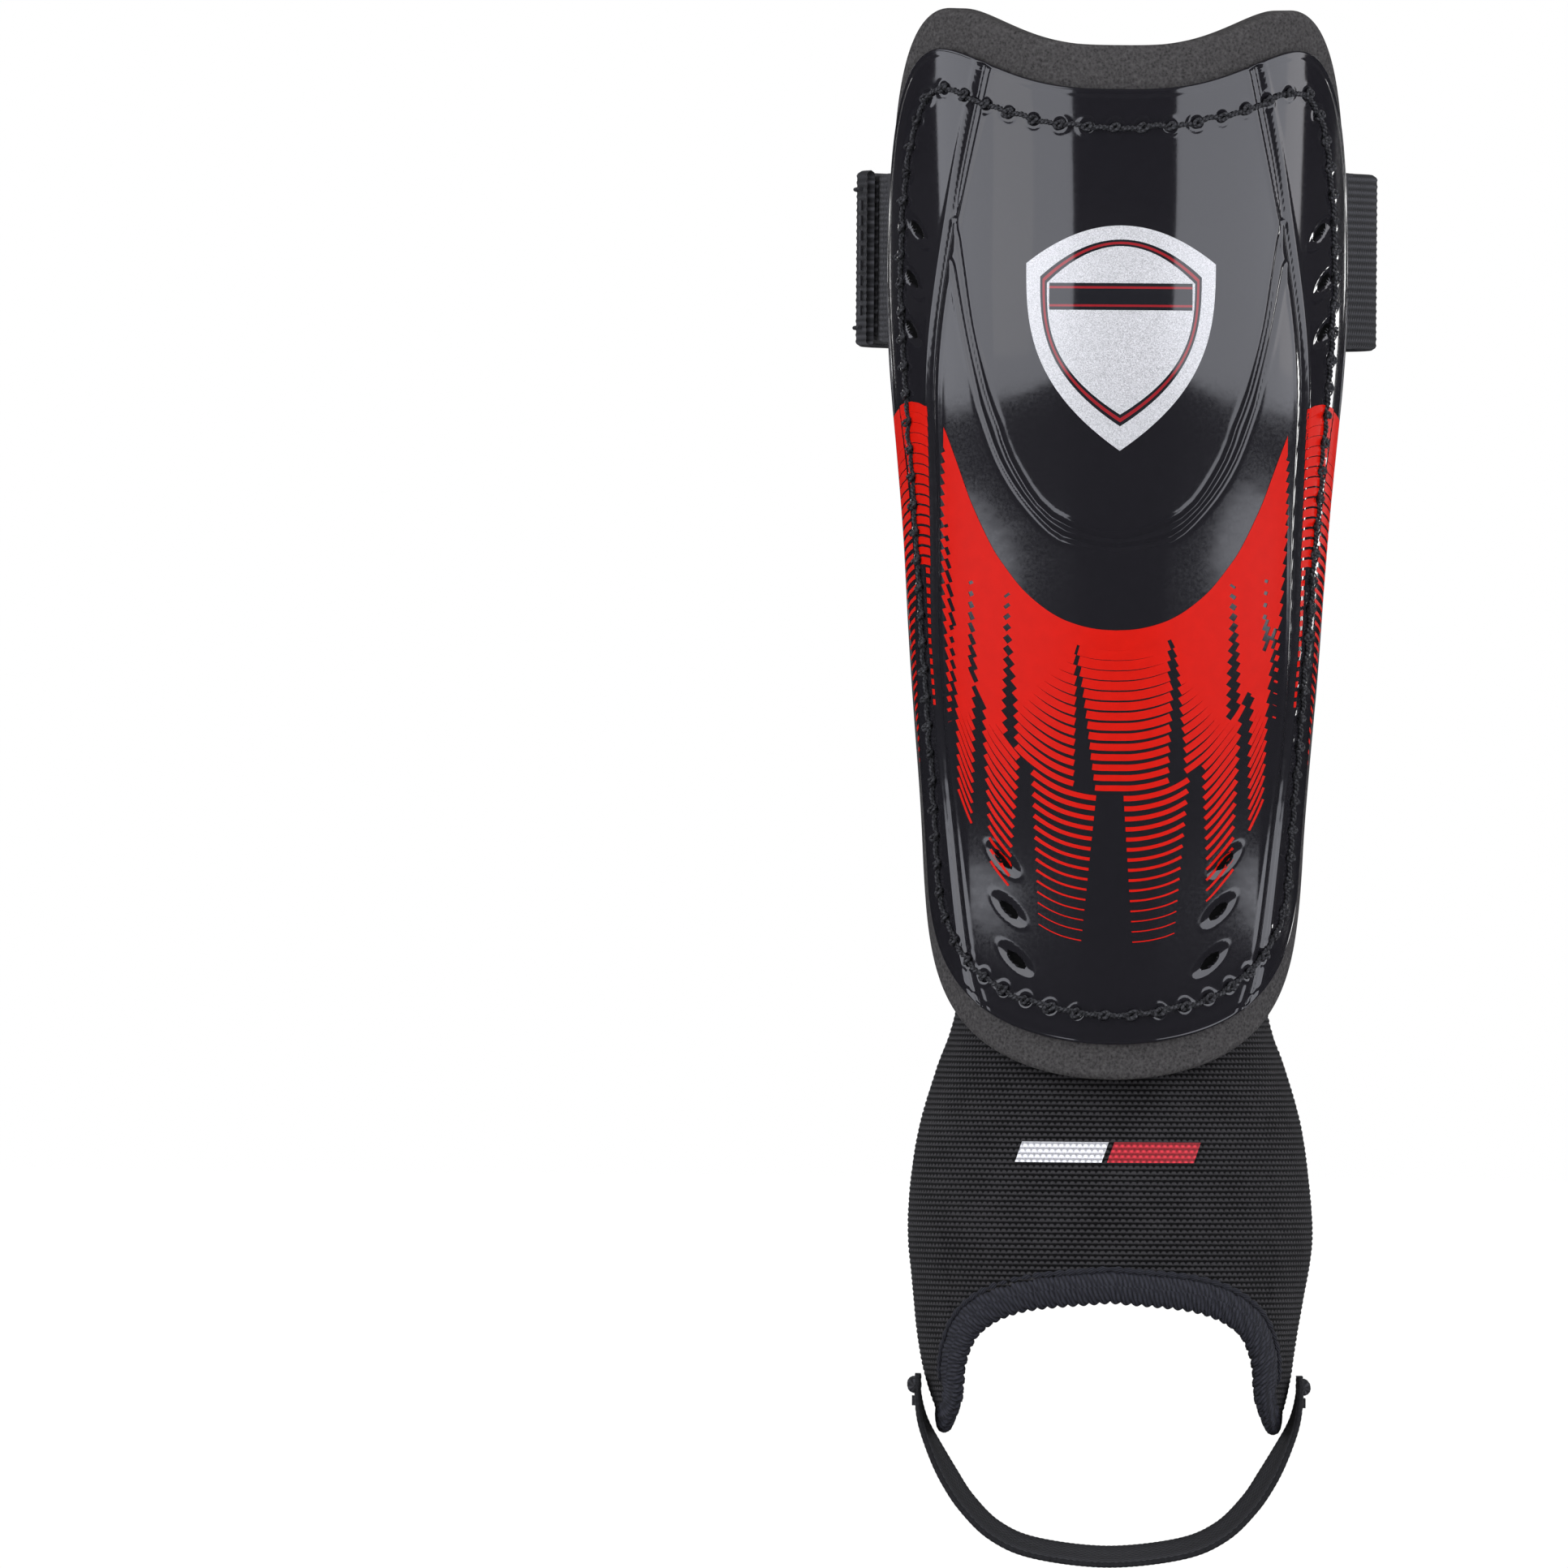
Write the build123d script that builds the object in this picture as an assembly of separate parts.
"""Shin guard with ankle sleeve, foot stirrup and calf strap. Millimetres.

Frame: +Z up the leg, the guard's front faces -Y, +X is to the right as seen from the front.
Origin: on the leg's axis, at half the height of the foam pad.
Angles on the guard are measured about the leg's axis, from the front, positive towards +X.
"""
from build123d import *
import os
from math import cos, degrees, exp, hypot, radians, sin, sqrt

os.makedirs("parts", exist_ok=True)

# ---- guard: shell and foam pad -------------------------------------------------------------
RADIUS_AT_ORIGIN = 48.8       # shell's outer radius at z = 0
RADIUS_SLOPE = 0.0655         # it widens towards the knee
RADIUS_BOW = 0.00008          # and is bowed a little along the shin
CALF_SWELL = (1.3, 42.0, 26.0)     # swell beside the calf: height out, its z and its reach
ANKLE_WAIST = (-0.9, -60.0, 28.0)  # and a waist above the ankle
SHELL_THICK = 1.6
FOAM_THICK = 8.0
FOAM_DEPTH = SHELL_THICK + FOAM_THICK

CHANNEL_WIDTH = 2.8           # long moulded channel on each side of the front panel
CHANNEL_DEPTH = 0.6
CHANNEL_ROUTE = [(112, 30), (99, 34), (75, 41), (38, 49.6), (5, 52.4), (-23, 54.8), (-46, 55),
                 (-68, 52.9), (-89, 49), (-100, 44.4), (-114, 37)]      # (height, angle)
PANEL_LINE = [(-28.4, 101), (-35.3, 70), (-33.7, 59.3), (-28.4, 33), (-23.2, 18.5), (-17.2, 8.8),
              (-10.5, 4), (0, 1.2)]     # front panel's lower outline, left half, in x and height
PANEL_LINE_WIDTH = 0.9
PANEL_LINE_DEPTH = 0.35

VENT_DISH = (10.5, 3.8)       # dished oval, length and width
VENT_SLOT = (5.5, 2.0)        # slot through the shell at its middle
VENT_DISH_DEPTH = 0.5
VENT_TILT = 39                # each vent rises outwards
VENTS = [(54.9, 68.0), (57.0, 57.2), (57.6, 46.4), (33.8, -67.9), (32.2, -78.6), (30.0, -89.4)]

# ---- thread --------------------------------------------------------------------------------
THREAD_RADIUS = 0.4
STITCH_PITCH = 6.0
STITCH_LENGTH = 4.6
THREAD_LIFT = 0.12            # a straight stitch clears the curved face it lies on
SEAM_INSET = 7.3              # from the shell's edge to the perimeter seam, at z = 0
SEAM_INSET_SLOPE = 0.01       # it widens a little towards the knee
SLEEVE_SEAM_HEIGHT = -75.0
BOBBIN_DEPTH = 8.4            # the inner thread pulls into the foam

# ---- calf strap, its fastening tab and the label -------------------------------------------
STRAP_THICK = 1.6
STRAP_LOW, STRAP_HIGH = 43.0, 81.0
TAB_THICK = 1.5
TAB_LOW, TAB_HIGH = 43.8, 80.2
HOOK_THICK = 1.0
HOOK_LOW, HOOK_HIGH = 45.0, 79.0
LABEL_THICK = 0.5
LABEL_LOW, LABEL_HIGH = 35.0, 89.0
PATCH_GAP = 0.03              # between the strap and the hook patch sewn to it
FASTENING_GAP = 0.3           # between the hooks and the tab's looped face
SEWN_FROM, SEWN_TO = 58.0, 73.0   # angles that a sewn end spans between shell and foam
# Plan routes. Each sewn end leaves the guard's edge and turns back beside the calf.
STUB_ROUTE = [(47.4, -16.6), (48.9, -13.0), (50.1, -9.6)]
STRAP_ROUTE = [(50.5, -8.4), (54.7, 5), (55.4, 24), (52.6, 44), (45, 60.5), (31, 72), (12, 77.6),
               (-8, 77.8), (-26, 73), (-41, 62.5)]
TAB_ROUTE = [(-50.4, -8.4), (-52.4, 2), (-52.5, 14), (-51.4, 26), (-48.6, 38)]
LABEL_ROUTE = [(46.8, -11.8), (47.2, 5), (47.2, 20), (46, 36), (42.4, 50), (36.4, 60.5), (29.4, 67.3)]
HINGE_GAP = 0.35              # half the gap left at the strap's fold beside the guard
BACK_GAP = 0.8                # half the gap left at its fold behind the calf
BACK_FOLD_X = 2.0

# ---- ankle sleeve and stirrup --------------------------------------------------------------
SLEEVE_THICK = 1.2
SLEEVE_HEM_THICK = 2.2
SLEEVE_TOP, SLEEVE_HEM_LOW, SLEEVE_LOW = -70.0, -82.0, -191.5
SLEEVE_SECTIONS = [           # height, half width, depth to the front, depth to the back
    (-70.0, 32.2, 32.7, 40.0), (-90.0, 32.2, 31.3, 41.0), (-104.0, 34.6, 31.0, 41.5),
    (-113.0, 37.8, 31.0, 42.0), (-128.0, 42.0, 33.0, 42.5), (-147.0, 43.9, 35.3, 42.0),
    (-161.0, 42.6, 35.0, 40.5), (-178.0, 40.0, 34.0, 38.0), (-191.5, 36.5, 32.0, 35.0)]
SLEEVE_LOFT_STEPS = 27
SLEEVE_CLEARANCE = 0.4
BINDING_PROUD = 0.5
# Right half of the arched lower edge, as seen from the front: its inner line and the hem's upper line.
ARCH_LINE = [(0, -162.9), (18.8, -165), (28.7, -169.6), (32.6, -177), (33, -186)]
HEM_LINE = [(0, -155.4), (10.3, -156.6), (20, -159), (32.8, -165.4), (37.6, -173), (40, -181)]

STIRRUP_WIDTH = 20.0
STIRRUP_THICK = 1.2
# Right half from under the foot to the top of the band beside the ankle.
STIRRUP_ROUTE = [(0, -218.9), (15.8, -217.1), (24.5, -213.4), (30.6, -207.5), (34.6, -201.5),
                 (38, -195), (40.3, -189.5), (41.3, -184), (41.3, -179.5)]
FOLD_THICK = 1.2              # the band's end is folded over outside itself
FOLD_HEIGHT = 5.0
TACK_SIZE = (0.7, 14.0, 2.0)


def radius(height, depth=0.0):
    """Radius at a height, a depth below the shell's outer face."""
    reach = RADIUS_AT_ORIGIN + RADIUS_SLOPE * height - RADIUS_BOW * height * height - depth
    for size, middle, spread in (CALF_SWELL, ANKLE_WAIST):
        reach += size * exp(-((height - middle) / spread) ** 2)
    return reach


def at(r, angle, height):
    return Vector(r * sin(radians(angle)), -r * cos(radians(angle)), height)


class Outline:
    """Front outline in angle and height: two ears over a notch, straight sides, a rounded toe."""

    def __init__(self, notch, ear_top, ear_angle, side_angle, shoulder, toe_angle, toe_start, toe_low):
        self.notch = notch
        self.ear_top = ear_top
        self.ear_angle = ear_angle
        self.side_angle = side_angle
        self.shoulder = shoulder
        self.toe_angle = toe_angle
        self.toe_start = toe_start
        self.toe_low = toe_low

    def top(self, angle):
        a = abs(angle)
        if a <= self.ear_angle:
            t = (a / self.ear_angle) ** 1.5
            return self.notch + (self.ear_top - self.notch) * t * t * (3 - 2 * t)
        if a <= self.side_angle:
            u = (a - self.ear_angle) / (self.side_angle - self.ear_angle)
            return self.shoulder + (self.ear_top - self.shoulder) * sqrt(1 - u * u)
        u = (a - self.side_angle) / (self.toe_angle - self.side_angle)
        return self.shoulder + (self.toe_start - self.shoulder) * u ** (2 / 3)

    def bottom(self, angle):
        u = min(1.0, abs(angle) / self.toe_angle)
        return self.toe_start - (self.toe_start - self.toe_low) * sqrt(1 - u * u)


SHELL_OUTLINE = Outline(98.2, 106.9, 45.6, 70.0, 55.9, 70.0, -72.2, -107.7)
FOAM_OUTLINE = Outline(107.7, 115.7, 45.0, 75.0, 45.7, 84.0, -69.3, -115.3)


def layer(depth_out, depth_in, low=-125.0, high=125.0):
    """A full ring about the leg's axis, between two depths below the shell's outer face."""
    heights = [low + (high - low) * i / 20 for i in range(21)]
    outer = Spline([Vector(radius(z, depth_out), 0, z) for z in heights])
    inner = Spline([Vector(radius(z, depth_in), 0, z) for z in heights])
    rungs = [Line(inner @ 0, outer @ 0), Line(inner @ 1, outer @ 1)]
    return revolve(make_face([outer, inner] + rungs), Axis.Z)


def radial_block(low, high, angles):
    """A block with radial sides, whose lower and upper limits follow the angle."""
    sections = []
    for angle in angles:
        corners = [(22, low(angle)), (75, low(angle)), (75, high(angle)), (22, high(angle))]
        sections.append(Wire.make_polygon([at(r, angle, z) for r, z in corners]))
    return Solid.make_loft(sections)


def outline_block(outline, half):
    return radial_block(outline.bottom, outline.top, [-a for a in reversed(half[1:])] + half)


def surface_plane(angle, height, depth):
    """Plane tangent to the guard: x across the leg, y up it, z outwards."""
    a = radians(angle)
    origin = at(radius(height, depth), angle, height)
    return Plane(origin, x_dir=(cos(a), sin(a), 0), z_dir=(sin(a), -cos(a), 0))


def channel(side):
    half = CHANNEL_WIDTH / 2
    sections = []
    for height, angle in CHANNEL_ROUTE:
        plane = surface_plane(side * angle, height, CHANNEL_DEPTH)
        corners = [(-half + 0.4, 0), (half - 0.4, 0), (half + 0.4, 2), (-half - 0.4, 2)]
        points = [plane.origin + plane.x_dir * x + plane.z_dir * out for x, out in corners]
        sections.append(Wire.make_polygon(points))
    return Solid.make_loft(sections)


def panel_groove():
    left = [Vector(x, 0, z) for x, z in PANEL_LINE]
    right = [Vector(-p.X, 0, p.Z) for p in reversed(left[:-1])]
    curve = Spline(left[1:] + right[:-1])
    lines = [Line(left[0], left[1]), curve, Line(right[-2], right[-1])]
    strokes = [Plane.XZ * trace(Plane.XZ.to_local_coords(line), PANEL_LINE_WIDTH) for line in lines]
    bars = [extrude(stroke, 70) for stroke in strokes]
    return [bar & layer(-1, PANEL_LINE_DEPTH) for bar in bars]


def vent_cutters(angle, height):
    dish_plane = surface_plane(angle, height, VENT_DISH_DEPTH)
    slot_plane = surface_plane(angle, height, 3)
    tilt = VENT_TILT if angle > 0 else -VENT_TILT
    dish = extrude(dish_plane * SlotOverall(*VENT_DISH, rotation=tilt), 3)
    slot = extrude(slot_plane * SlotOverall(*VENT_SLOT, rotation=tilt), 6)
    return [dish, slot]


def make_shell():
    half = [0, 8, 16, 24, 32, 39, 45.6, 51, 56, 60, 63.5, 66.3, 68.3, 69.5, 70]
    shell = layer(0, SHELL_THICK) & outline_block(SHELL_OUTLINE, half)
    cutters = [channel(-1), channel(1)] + panel_groove()
    for angle, height in VENTS:
        cutters += vent_cutters(angle, height) + vent_cutters(-angle, height)
    for cutter in cutters:
        shell = shell - cutter
    return shell


def sleeve_wire(section, inset):
    height, half_width, front, back = section
    plane = Plane.XY.offset(height)
    front_arc = EllipticalCenterArc((0, 0), half_width - inset, front - inset, 180, arc_size=180)
    back_arc = EllipticalCenterArc((0, 0), half_width - inset, back - inset, 0, arc_size=180)
    return plane * Wire([front_arc, back_arc])


def sleeve_section(height):
    """Half width and depths at a height, on a smooth curve through the measured sections."""
    rows = SLEEVE_SECTIONS
    last = len(rows) - 1
    i = 0
    while i < last - 1 and height < rows[i + 1][0]:
        i += 1
    t = (height - rows[i][0]) / (rows[i + 1][0] - rows[i][0])
    result = [height]
    for k in (1, 2, 3):
        ends = []
        for j in (i, i + 1):
            a, b = rows[max(0, j - 1)], rows[min(last, j + 1)]
            ends.append((b[k] - a[k]) / (b[0] - a[0]) * (rows[i + 1][0] - rows[i][0]))
        p, q = rows[i][k], rows[i + 1][k]
        blend = t * t * (3 - 2 * t)
        lean = ends[0] * t * (1 - t) * (1 - t) - ends[1] * t * t * (1 - t)
        result.append(p + (q - p) * blend + lean)
    return tuple(result)


def sleeve_body(inset):
    step = (SLEEVE_LOW - SLEEVE_TOP) / SLEEVE_LOFT_STEPS
    heights = [SLEEVE_TOP + step * i for i in range(SLEEVE_LOFT_STEPS + 1)]
    return Solid.make_loft([sleeve_wire(sleeve_section(z), inset) for z in heights])


def sleeve_wall(inset_out, inset_in):
    return sleeve_body(inset_out) - sleeve_body(inset_in)


def slab(low, high):
    return Pos(0, 0, (low + high) / 2) * Box(200, 200, high - low)


def below(line):
    """Everything under a curve seen from the front, given by its right half."""
    right = [Vector(x, z) for x, z in line]
    left = [Vector(-p.X, p.Y) for p in reversed(right[1:])]
    curve = Spline(left + right)
    base = -230
    sides = [Line(right[-1], (right[-1].X, base)), Line((right[-1].X, base), (left[0].X, base)),
             Line((left[0].X, base), left[0])]
    face = make_face([curve] + sides)
    return extrude(Plane.XZ * face, 80, both=True)


def make_sleeve():
    hem_zone = below(HEM_LINE) + Pos(0, 0, -206) * Box(200, 200, 50)
    arch = below(ARCH_LINE)
    wall = sleeve_wall(0, SLEEVE_THICK) & slab(SLEEVE_LOW, SLEEVE_HEM_LOW)
    sleeve = wall - hem_zone
    binding = (sleeve_wall(-BINDING_PROUD, SLEEVE_THICK + BINDING_PROUD) & hem_zone) - arch
    top_hem = sleeve_wall(0, SLEEVE_HEM_THICK) & slab(SLEEVE_HEM_LOW, SLEEVE_TOP)
    return sleeve, binding, top_hem


def offset_points(route, distance, start=0.0, end=1.0, count=24):
    """Points beside a plan curve, to the left of its direction of travel."""
    points = []
    for i in range(count + 1):
        t = start + (end - start) * i / count
        tangent = route % t
        points.append(route @ t + Vector(-tangent.Y, tangent.X, 0) * distance)
    return points


def band(route, thick, low, high, start=0.0, end=1.0, shift=0.0):
    """A flat strap standing on edge along a plan curve."""
    left = offset_points(route, shift + thick / 2, start, end)
    right = offset_points(route, shift - thick / 2, start, end)
    edges = [Spline(left), Spline(right), Line(left[0], right[0]), Line(left[-1], right[-1])]
    face = make_face(edges)
    return Pos(0, 0, low) * extrude(face, high - low, dir=(0, 0, 1))


def sewn_end(side, thick, low, high):
    """A strap end held between shell and foam, with the stub that comes out past the edge."""
    angles = [side * (SEWN_FROM + (SEWN_TO - SEWN_FROM) * i / 4) for i in range(5)]
    block = radial_block(lambda a: low, lambda a: high, angles)
    held = layer(SHELL_THICK, SHELL_THICK + thick) & block
    stub = band(Spline([Vector(side * x, y) for x, y in STUB_ROUTE]), thick, low, high)
    return held + stub


def nearest_at_x(route, x):
    """Where along a plan curve it crosses an x value behind the calf."""
    steps = [i / 400 for i in range(120, 400)]
    return min(steps, key=lambda t: abs((route @ t).X - x))


def stitch(start, end):
    """One straight stitch between two points."""
    plane = Plane(origin=start, z_dir=end - start)
    return Solid.make_cylinder(THREAD_RADIUS, (end - start).length, plane)


def run_of_stitches(points, length=STITCH_LENGTH, pitch=STITCH_PITCH, closed=False):
    """Straight stitches at an even pitch along a polyline."""
    if closed:
        points = points + [points[0]]
    distances = [0.0]
    for a, b in zip(points, points[1:]):
        distances.append(distances[-1] + (b - a).length)
    count = max(1, round(distances[-1] / pitch))
    step = distances[-1] / count

    def place(distance):
        for i in range(1, len(points)):
            if distance <= distances[i] or i == len(points) - 1:
                t = (distance - distances[i - 1]) / (distances[i] - distances[i - 1])
                return points[i - 1] + (points[i] - points[i - 1]) * t

    half = length / 2
    middles = [step * (i + 0.5) for i in range(count)]
    return [stitch(place(m - half), place(m + half)) for m in middles]


def perimeter_path(depth):
    """The seam: the shell's outline moved inwards over the surface, at a depth below its face."""
    outline = SHELL_OUTLINE
    edge = []
    for i in range(60):
        angle = outline.side_angle * (-1 + 2 * i / 60)
        edge.append((angle, outline.top(angle)))
    for i in range(20):
        edge.append((outline.side_angle, outline.shoulder + (outline.toe_start - outline.shoulder) * i / 20))
    for i in range(60):
        angle = radians(180 * i / 60)
        toe = outline.toe_start - (outline.toe_start - outline.toe_low) * sin(angle)
        edge.append((outline.toe_angle * cos(angle), toe))
    side_height = outline.shoulder - outline.toe_start
    for i in range(20):
        edge.append((-outline.side_angle, outline.toe_start + side_height * i / 20))
    flat = [(radians(a) * radius(z), z) for a, z in edge]
    path = []
    for i, (s, z) in enumerate(flat):
        before, after = flat[i - 3], flat[(i + 3) % len(flat)]
        ds, dz = after[0] - before[0], after[1] - before[1]
        reach = (SEAM_INSET + SEAM_INSET_SLOPE * z) / hypot(ds, dz)
        s_in, z_in = s + dz * reach, z - ds * reach
        path.append(at(radius(z_in, depth), degrees(s_in / radius(z_in)), z_in))
    return path


def sleeve_seam_path():
    inset = SLEEVE_HEM_THICK + THREAD_RADIUS + THREAD_LIFT
    height, half_width, front, back = sleeve_section(SLEEVE_SEAM_HEIGHT)
    angles = [radians(-58 + 116 * i / 40) for i in range(41)]
    return [Vector((half_width - inset) * sin(a), (inset - front) * cos(a), height) for a in angles]


def make_stirrup():
    right = [Vector(x, z) for x, z in STIRRUP_ROUTE]
    left = [Vector(-p.X, p.Y) for p in reversed(right[1:])]
    route = Spline(left + right)
    strip = band(route, STIRRUP_THICK, 0, STIRRUP_WIDTH)
    outside = STIRRUP_ROUTE[-1][0] + STIRRUP_THICK / 2
    height = STIRRUP_ROUTE[-1][1]
    for side in (-1, 1):
        centre = (side * (outside + FOLD_THICK / 2), height - FOLD_HEIGHT / 2 + 0.6, STIRRUP_WIDTH / 2)
        strip += Pos(*centre) * Box(FOLD_THICK, FOLD_HEIGHT, STIRRUP_WIDTH)
    return Pos(0, STIRRUP_WIDTH / 2, 0) * Rot(90, 0, 0) * strip


def stirrup_tack(side):
    height = STIRRUP_ROUTE[-1][1] - FOLD_HEIGHT - 0.8
    x = STIRRUP_ROUTE[-1][0] + STIRRUP_THICK / 2 + TACK_SIZE[0] / 2
    return Pos(side * x, 0, height) * Box(*TACK_SIZE)


def hook_stitch_paths(route, start):
    """Rows of stitches on the strap's outer face, around the hook patch behind it."""
    outside = STRAP_THICK / 2 + THREAD_RADIUS + THREAD_LIFT
    along = offset_points(route, -outside, start + 0.015, 0.985, 30)
    low, high = HOOK_LOW + 2, HOOK_HIGH - 2
    rows = [[p + Vector(0, 0, z) for p in along] for z in (low, high)]
    ends = [[along[i] + Vector(0, 0, low + 2), along[i] + Vector(0, 0, high - 2)] for i in (0, -1)]
    return rows + ends


# ---- make every piece ----------------------------------------------------------------------
pieces = {}
pieces["hard_shell"] = make_shell()

tab_route = Spline([Vector(x, y) for x, y in TAB_ROUTE])
fastened = TAB_THICK / 2 + FASTENING_GAP + HOOK_THICK + STRAP_THICK / 2
beside_tab = offset_points(tab_route, fastened, 0.02, 1.0, 6)
strap_route = Spline([Vector(x, y) for x, y in STRAP_ROUTE] + list(reversed(beside_tab)))
back_fold = nearest_at_x(strap_route, BACK_FOLD_X)
strap_length = strap_route.length
hinge_trim = HINGE_GAP / strap_length
back_trim = BACK_GAP / strap_length
hook_start = 1 - 58 / strap_length

pieces["strap_sewn_end"] = sewn_end(1, STRAP_THICK, STRAP_LOW, STRAP_HIGH)
pieces["strap_side"] = band(strap_route, STRAP_THICK, STRAP_LOW, STRAP_HIGH,
                            hinge_trim, back_fold - back_trim)
pieces["strap_free_end"] = band(strap_route, STRAP_THICK, STRAP_LOW, STRAP_HIGH, back_fold + back_trim, 1)
hook_shift = (STRAP_THICK + HOOK_THICK) / 2 + PATCH_GAP
pieces["hook_patch"] = band(strap_route, HOOK_THICK, HOOK_LOW, HOOK_HIGH, hook_start, 0.995, hook_shift)
hook_rows = hook_stitch_paths(strap_route, hook_start)
pieces["hook_patch_stitches"] = Compound([s for row in hook_rows for s in run_of_stitches(row, 2.2, 3.2)])

pieces["loop_tab_sewn_end"] = sewn_end(-1, TAB_THICK, TAB_LOW, TAB_HIGH)
pieces["loop_tab"] = band(tab_route, TAB_THICK, TAB_LOW, TAB_HIGH, HINGE_GAP / tab_route.length, 1)
label_route = Spline([Vector(x, y) for x, y in LABEL_ROUTE])
pieces["satin_label"] = band(label_route, LABEL_THICK, LABEL_LOW, LABEL_HIGH)

half = [0, 8, 16, 24, 32, 38, 42.6, 48, 54, 60, 65, 69, 72, 74, 75, 76, 77.5, 79, 80.5, 82, 83.2]
foam = layer(SHELL_THICK, FOAM_DEPTH) & outline_block(FOAM_OUTLINE, half)
for side in (-1, 1):
    notch_angles = [side * (SEWN_FROM + (78 - SEWN_FROM) * i / 4) for i in range(5)]
    notch = radial_block(lambda angle: STRAP_LOW, lambda angle: STRAP_HIGH, notch_angles)
    foam = foam - (layer(0, SHELL_THICK + STRAP_THICK) & notch)
foam = foam - pieces["strap_sewn_end"] - pieces["loop_tab_sewn_end"]
pieces["foam_pad"] = foam - (sleeve_body(-SLEEVE_CLEARANCE) & slab(-130, SLEEVE_TOP + 0.5))

top_path = perimeter_path(-THREAD_RADIUS - THREAD_LIFT)
pieces["perimeter_top_thread"] = Compound(run_of_stitches(top_path, closed=True))
bobbin_path = perimeter_path(BOBBIN_DEPTH)
pieces["perimeter_bobbin_thread"] = Compound(run_of_stitches(bobbin_path, closed=True))

sleeve, binding, top_hem = make_sleeve()
pieces["ankle_sleeve"] = sleeve
pieces["sleeve_bottom_binding"] = binding
pieces["sleeve_top_hem"] = top_hem
pieces["sleeve_seam_thread"] = Compound(run_of_stitches(sleeve_seam_path(), 3.4, 4.6))

pieces["stirrup_band"] = make_stirrup()
pieces["stirrup_tack_left"] = stirrup_tack(-1)
pieces["stirrup_tack_right"] = stirrup_tack(1)

for name, piece in pieces.items():
    solids = piece.solids()
    result = solids[0] if len(solids) == 1 else Compound(solids)
    export_step(result, f"parts/{name}.step")
    box = result.bounding_box()
    print(f"{name:26s} {len(solids):3d} solids {sum(s.volume for s in solids) / 1000:8.2f} cm3",
          f"x {box.min.X:.1f}..{box.max.X:.1f} y {box.min.Y:.1f}..{box.max.Y:.1f}",
          f"z {box.min.Z:.1f}..{box.max.Z:.1f}")

fold = strap_route @ back_fold
print(f"strap length {strap_length:.1f}, back fold at {fold.X:.2f}, {fold.Y:.2f}")
print(f"label length {label_route.length:.1f}, tab length {tab_route.length:.1f}")
